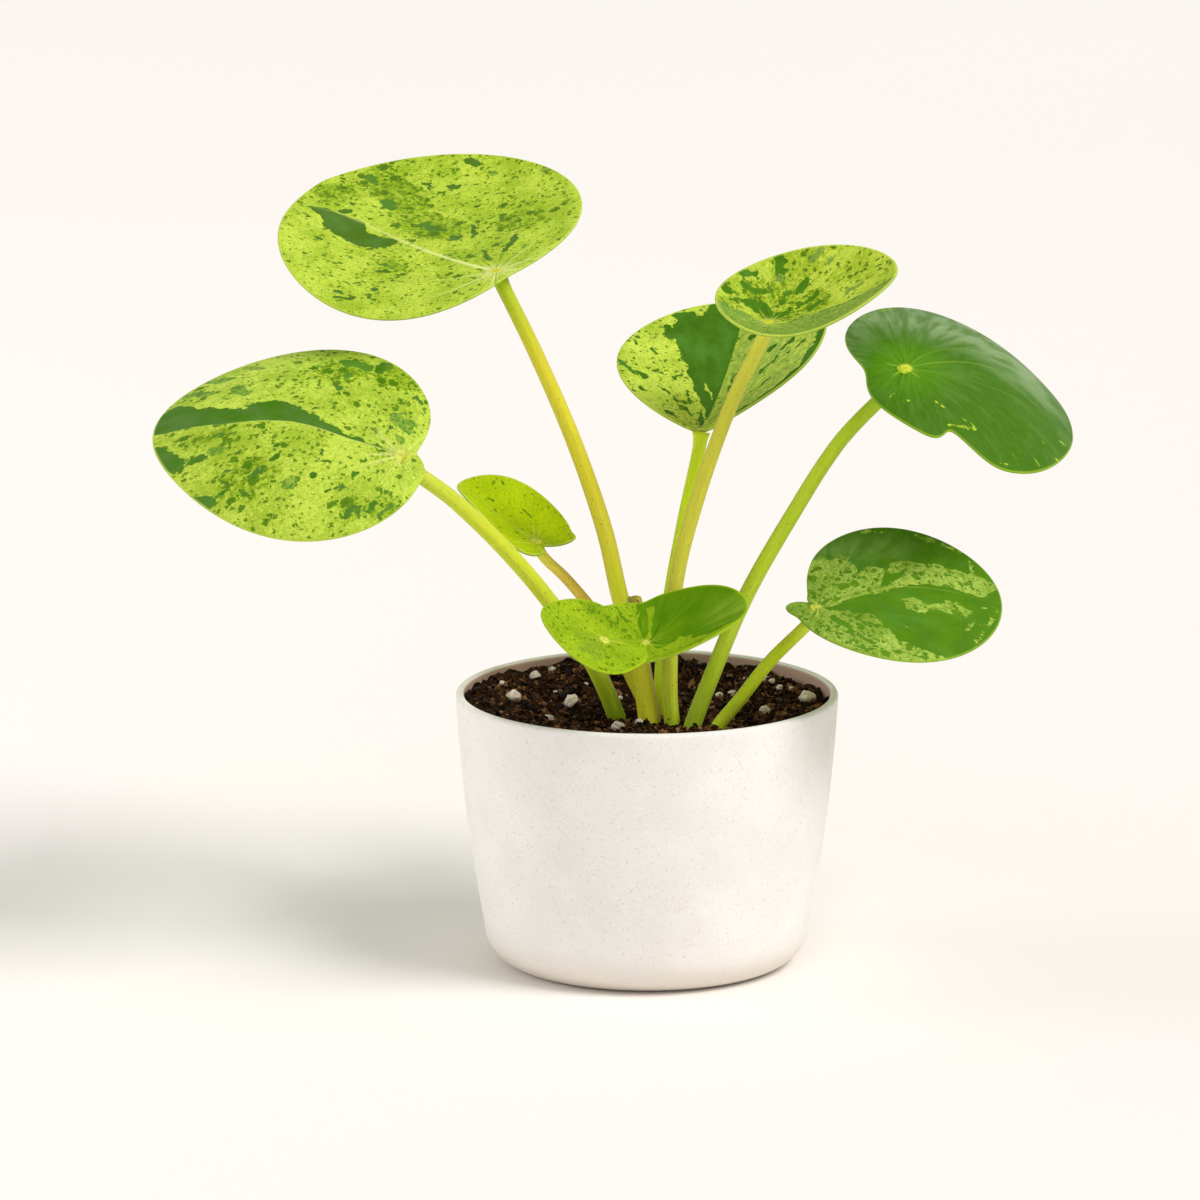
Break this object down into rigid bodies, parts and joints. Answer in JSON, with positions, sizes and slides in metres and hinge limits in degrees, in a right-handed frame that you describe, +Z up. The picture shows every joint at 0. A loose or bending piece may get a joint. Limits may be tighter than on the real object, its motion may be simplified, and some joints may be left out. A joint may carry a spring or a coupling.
{
  "type": "potted pilea plant",
  "caption": "Variegated pilea houseplant in a round white pot: peltate leaf blades on long stalks, a short stem with a bud, potting soil and perlite.",
  "frame": {"origin": "centre of the pot's flat base, on the surface that it stands on", "axes": "+Z up along the pot's axis, +X to the viewer's right in the picture, -Y towards the viewer"},
  "size_m": [0.2409, 0.1407, 0.2009],
  "materials": {
    "pot": "matte",
    "soil": "matte",
    "perlite": "matte",
    "main_stem": "satin",
    "growing_tip": "satin",
    "leaf_01_stalk": "satin",
    "leaf_01_blade": "satin",
    "leaf_02_stalk": "satin",
    "leaf_02_blade": "satin",
    "leaf_03_stalk": "satin",
    "leaf_03_blade": "satin",
    "leaf_04_stalk": "satin",
    "leaf_04_blade": "satin",
    "leaf_05_stalk": "satin",
    "leaf_05_blade": "satin",
    "leaf_06_stalk": "satin",
    "leaf_06_blade": "satin",
    "leaf_07_stalk": "satin",
    "leaf_07_blade": "satin",
    "leaf_08_stalk": "satin",
    "leaf_08_blade": "satin",
    "leaf_09_stalk": "satin",
    "leaf_09_blade": "satin"
  },
  "bodies": {
    "root": {"pot": "pot", "soil": "soil", "perlite_01": "perlite", "perlite_02": "perlite", "perlite_03": "perlite", "perlite_04": "perlite", "perlite_05": "perlite", "perlite_06": "perlite", "perlite_07": "perlite", "perlite_08": "perlite", "perlite_09": "perlite", "perlite_10": "perlite", "perlite_11": "perlite", "main_stem": "main_stem", "growing_tip": "growing_tip", "leaf_01_stalk": "leaf_01_stalk", "leaf_01_blade": "leaf_01_blade", "leaf_02_stalk": "leaf_02_stalk", "leaf_02_blade": "leaf_02_blade", "leaf_03_stalk": "leaf_03_stalk", "leaf_03_blade": "leaf_03_blade", "leaf_04_stalk": "leaf_04_stalk", "leaf_04_blade": "leaf_04_blade", "leaf_05_stalk": "leaf_05_stalk", "leaf_05_blade": "leaf_05_blade", "leaf_06_stalk": "leaf_06_stalk", "leaf_06_blade": "leaf_06_blade", "leaf_07_stalk": "leaf_07_stalk", "leaf_07_blade": "leaf_07_blade", "leaf_08_stalk": "leaf_08_stalk", "leaf_08_blade": "leaf_08_blade", "leaf_09_stalk": "leaf_09_stalk", "leaf_09_blade": "leaf_09_blade"}
  },
  "joints": []
}
